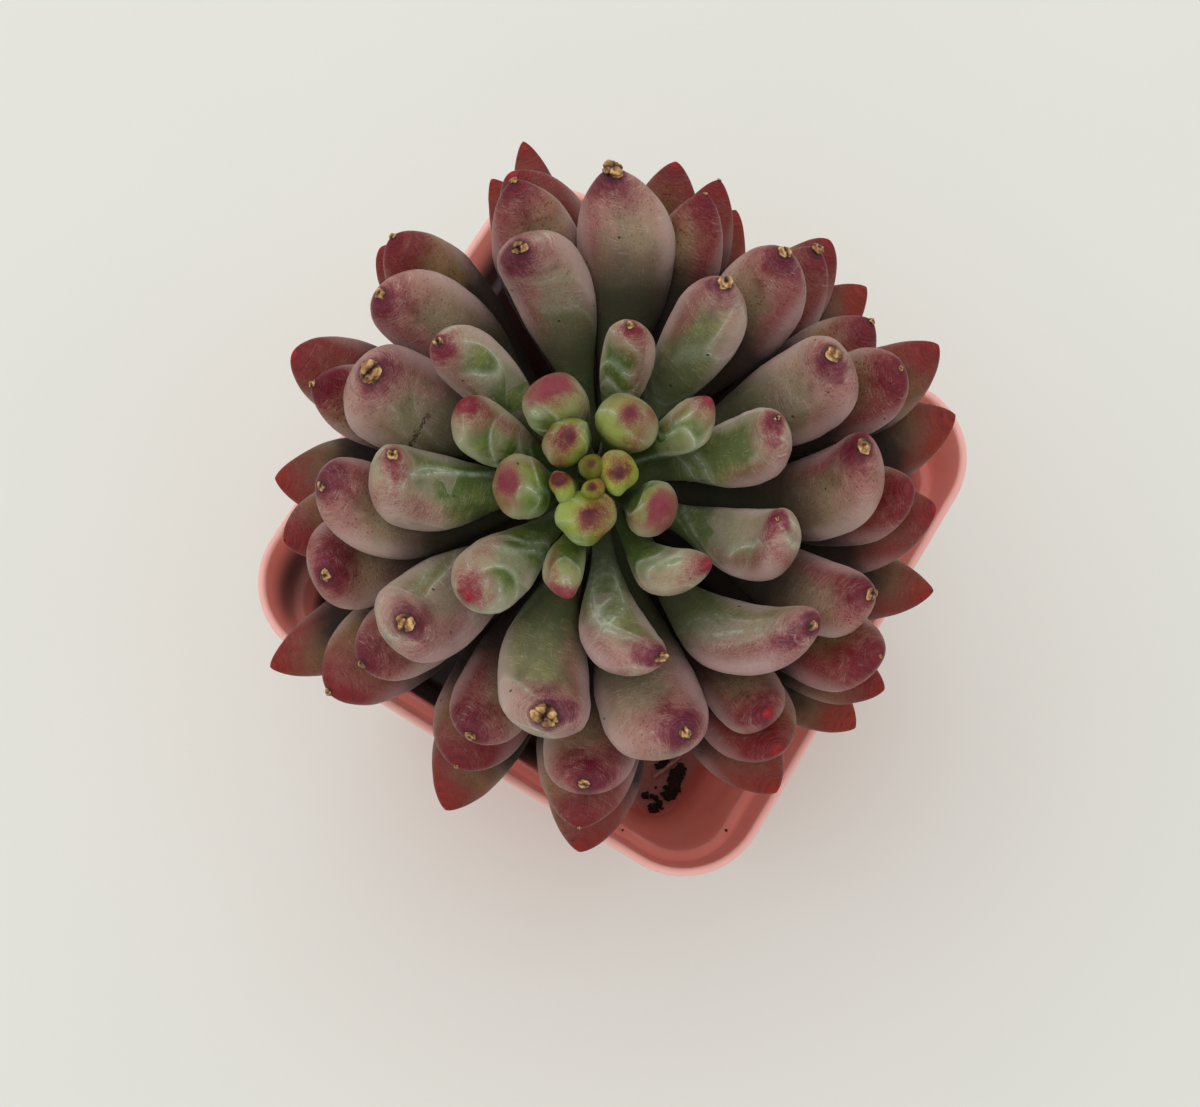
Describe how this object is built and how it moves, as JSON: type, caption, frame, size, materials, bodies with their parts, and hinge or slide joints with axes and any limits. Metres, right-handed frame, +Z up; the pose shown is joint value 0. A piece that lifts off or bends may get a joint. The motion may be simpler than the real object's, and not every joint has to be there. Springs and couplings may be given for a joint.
{
  "type": "potted beauty yu echeveria",
  "caption": "Leaning rosette of thick, club-shaped, red-tipped leaves on a short bare stem, rooted in a clod of soil in a square plastic nursery pot with rounded corners and a stepped collar.",
  "frame": {"origin": "centre of the pot's flat underside, where it stands", "axes": "+Z up through the pot's mouth; X and Y run along the pot's sides; the rosette leans from the upright by 12.6 degrees, towards the -Y side with a little +X"},
  "size_m": [0.0774, 0.0791, 0.1157],
  "materials": {
    "pot": "satin salmon pink plastic",
    "soil": "damp dark peat",
    "stem": "dry scarred bark",
    "heart": "waxy green with red tips",
    "leaf": "waxy mauve with crimson tips"
  },
  "bodies": {
    "root": {"pot": "pot", "soil": "soil", "stem": "stem", "heart": "heart", "leaf_01": "leaf", "leaf_02": "leaf", "leaf_03": "leaf", "leaf_04": "leaf", "leaf_05": "leaf", "leaf_06": "leaf", "leaf_07": "leaf", "leaf_08": "leaf", "leaf_09": "leaf", "leaf_10": "leaf", "leaf_11": "leaf", "leaf_12": "leaf", "leaf_13": "leaf", "leaf_14": "leaf", "leaf_15": "leaf", "leaf_16": "leaf", "leaf_17": "leaf", "leaf_18": "leaf", "leaf_19": "leaf", "leaf_20": "leaf", "leaf_21": "leaf", "leaf_22": "leaf", "leaf_23": "leaf", "leaf_24": "leaf", "leaf_25": "leaf", "leaf_26": "leaf", "leaf_27": "leaf", "leaf_28": "leaf", "leaf_29": "leaf", "leaf_30": "leaf", "leaf_31": "leaf", "leaf_32": "leaf", "leaf_33": "leaf", "leaf_34": "leaf", "leaf_35": "leaf", "leaf_36": "leaf", "leaf_37": "leaf", "leaf_38": "leaf", "leaf_39": "leaf", "leaf_40": "leaf", "leaf_41": "leaf", "leaf_42": "leaf", "leaf_43": "leaf", "leaf_44": "leaf", "leaf_45": "leaf", "leaf_46": "leaf", "leaf_47": "leaf", "leaf_48": "leaf", "leaf_49": "leaf", "leaf_50": "leaf", "leaf_51": "leaf", "leaf_52": "leaf", "leaf_53": "leaf", "leaf_54": "leaf"}
  },
  "joints": []
}
